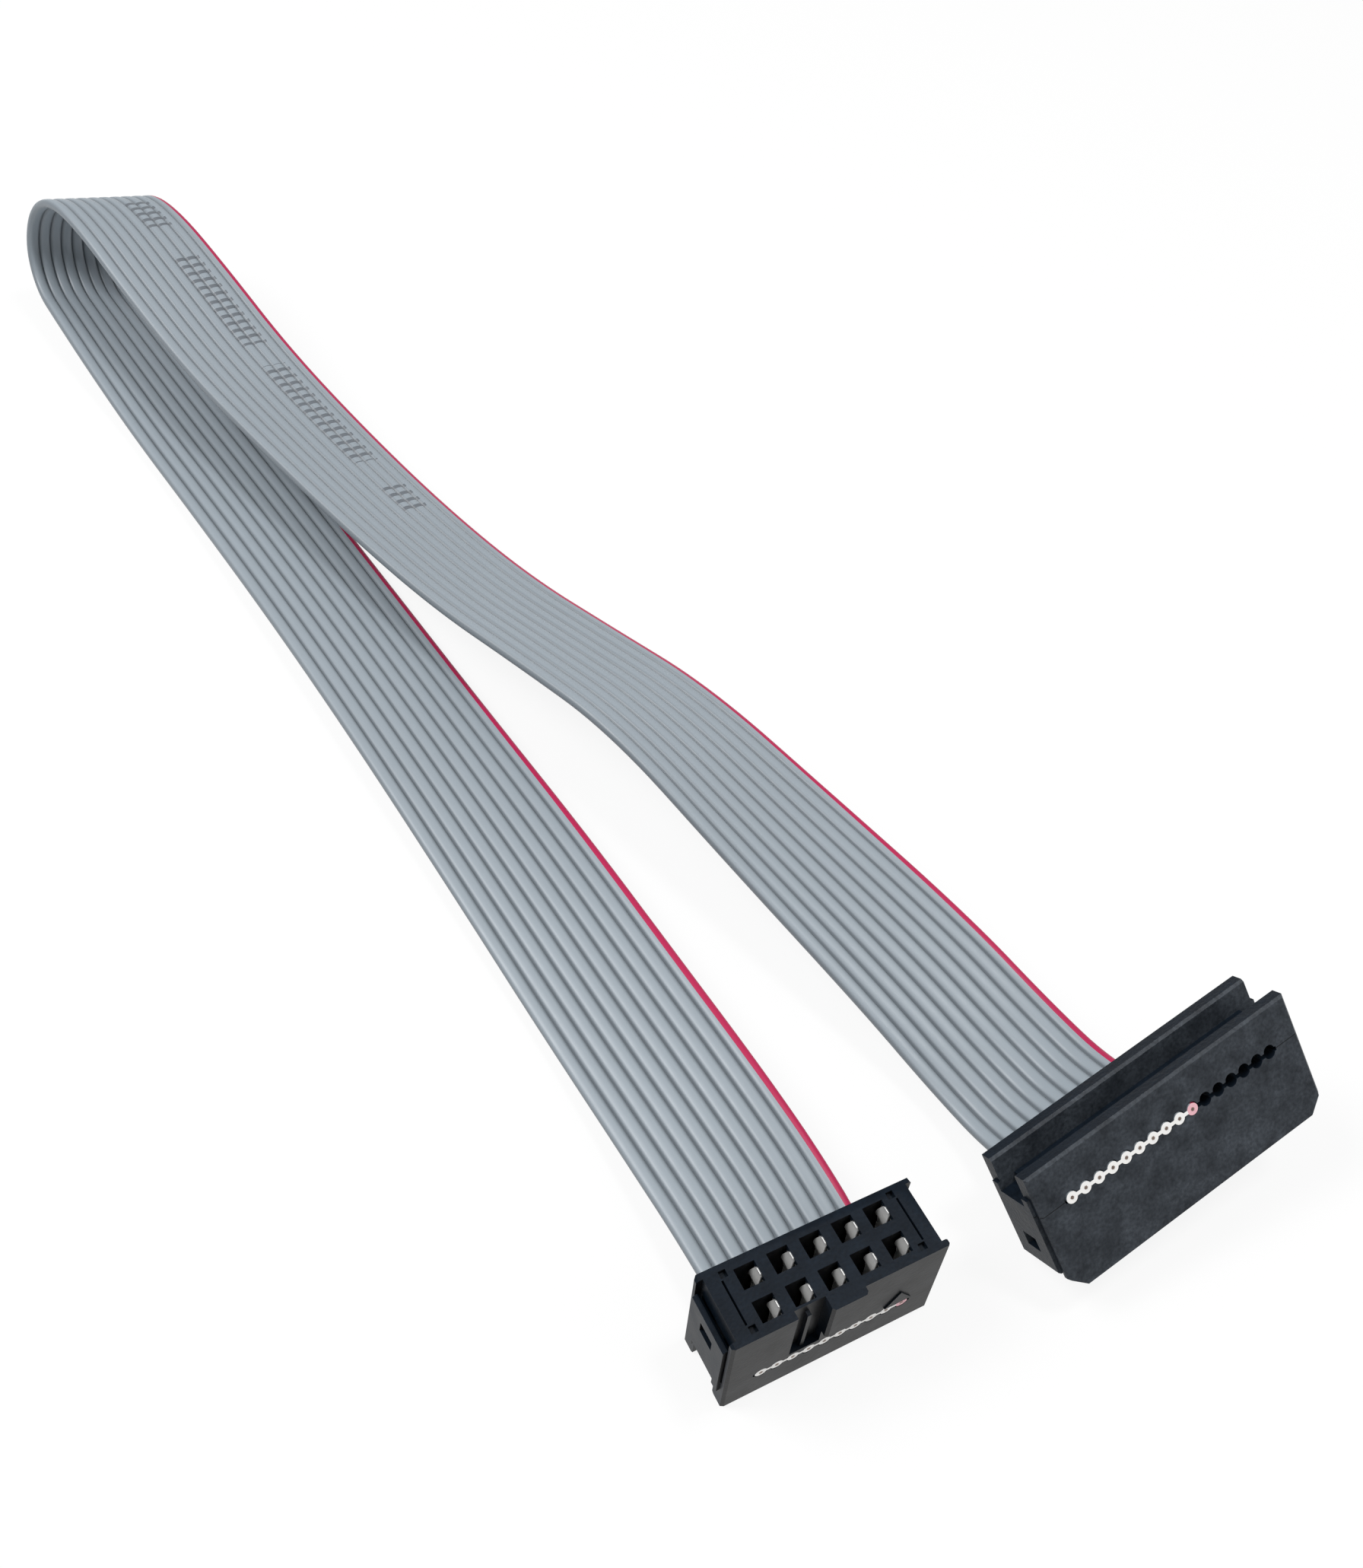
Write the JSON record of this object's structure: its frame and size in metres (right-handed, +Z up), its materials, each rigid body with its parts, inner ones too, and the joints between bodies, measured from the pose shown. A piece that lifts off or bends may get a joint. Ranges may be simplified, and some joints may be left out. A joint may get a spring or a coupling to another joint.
{
  "type": "ribbon cable",
  "caption": "Flat grey ribbon cable with a red edge wire, lying loosely and doubled back, with a pierced-wire socket connector at each end, one longer than the other.",
  "frame": {"origin": "under the middle of the shorter socket's box, at the back of its cover, which lies on the ground", "axes": "+Z up through the shorter socket's mating face, +X along its rows of pins, +Y the way the cable leaves it"},
  "size_m": [0.0614, 0.1542, 0.0155],
  "materials": {
    "socket_plastic": "fine matt moulded texture",
    "grey_insulation": "soft satin",
    "red_insulation": "soft satin",
    "contact_metal": "tinned"
  },
  "bodies": {
    "root": {"ten_way_body": "socket_plastic", "ten_way_cover": "socket_plastic", "ten_way_contact_01": "contact_metal", "ten_way_contact_02": "contact_metal", "ten_way_contact_03": "contact_metal", "ten_way_contact_04": "contact_metal", "ten_way_contact_05": "contact_metal", "ten_way_contact_06": "contact_metal", "ten_way_contact_07": "contact_metal", "ten_way_contact_08": "contact_metal", "ten_way_contact_09": "contact_metal", "ten_way_contact_10": "contact_metal", "sixteen_way_body": "socket_plastic", "sixteen_way_cover": "socket_plastic", "sixteen_way_contact_01": "contact_metal", "sixteen_way_contact_02": "contact_metal", "sixteen_way_contact_03": "contact_metal", "sixteen_way_contact_04": "contact_metal", "sixteen_way_contact_05": "contact_metal", "sixteen_way_contact_06": "contact_metal", "sixteen_way_contact_07": "contact_metal", "sixteen_way_contact_08": "contact_metal", "sixteen_way_contact_09": "contact_metal", "sixteen_way_contact_10": "contact_metal", "sixteen_way_contact_11": "contact_metal", "sixteen_way_contact_12": "contact_metal", "sixteen_way_contact_13": "contact_metal", "sixteen_way_contact_14": "contact_metal", "sixteen_way_contact_15": "contact_metal", "sixteen_way_contact_16": "contact_metal", "ribbon_grey_insulation": "grey_insulation", "ribbon_red_edge_core": "red_insulation"}
  },
  "joints": []
}
